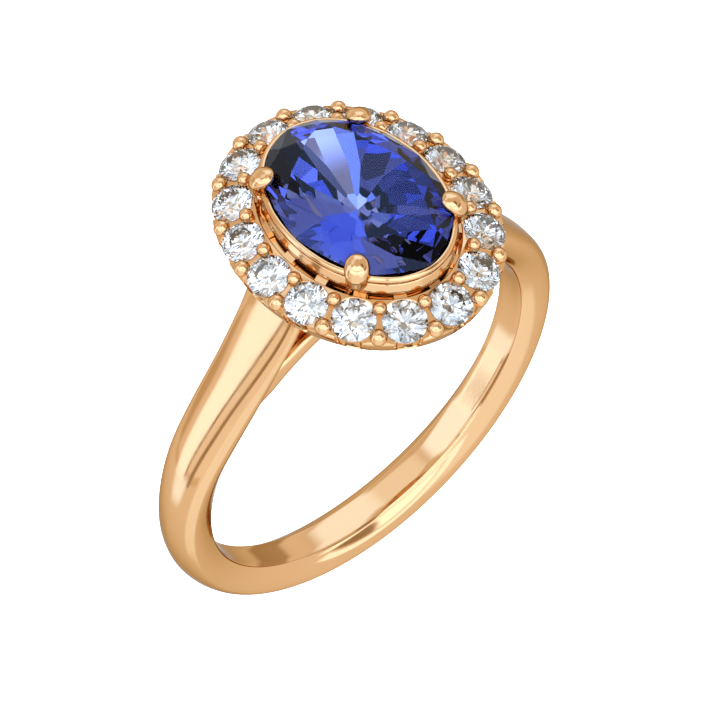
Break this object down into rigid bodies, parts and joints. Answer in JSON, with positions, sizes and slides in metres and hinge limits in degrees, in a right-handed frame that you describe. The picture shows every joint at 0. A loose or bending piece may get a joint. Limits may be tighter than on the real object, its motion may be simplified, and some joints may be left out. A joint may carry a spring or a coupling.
{
  "type": "engagement ring",
  "caption": "Oval violet-blue stone in claws, ringed by small white stones, on a rounded yellow-rose metal band with cathedral shoulders; worn on a finger.",
  "frame": {"origin": "centre of the finger hole, half way across the band's width", "axes": "+Y along the finger through the hole, +Z from the hole up to the centre stone, +X across the band to the wearer's side"},
  "size_m": [0.02, 0.0122, 0.0239],
  "materials": {
    "gold": "polished",
    "violet_stone": "polished facets",
    "white_stone": "polished facets"
  },
  "bodies": {
    "root": {"shank": "gold", "bridge": "gold", "head_base": "gold", "basket": "gold", "lower_rail": "gold", "upper_rail": "gold", "claw_1": "gold", "claw_2": "gold", "claw_3": "gold", "claw_4": "gold", "halo_frame": "gold", "halo_inner_beads": "gold", "halo_outer_beads": "gold", "centre_stone": "violet_stone", "diamond_01": "white_stone", "diamond_02": "white_stone", "diamond_03": "white_stone", "diamond_04": "white_stone", "diamond_05": "white_stone", "diamond_06": "white_stone", "diamond_07": "white_stone", "diamond_08": "white_stone", "diamond_09": "white_stone", "diamond_10": "white_stone", "diamond_11": "white_stone", "diamond_12": "white_stone", "diamond_13": "white_stone", "diamond_14": "white_stone", "diamond_15": "white_stone", "diamond_16": "white_stone"}
  },
  "joints": []
}
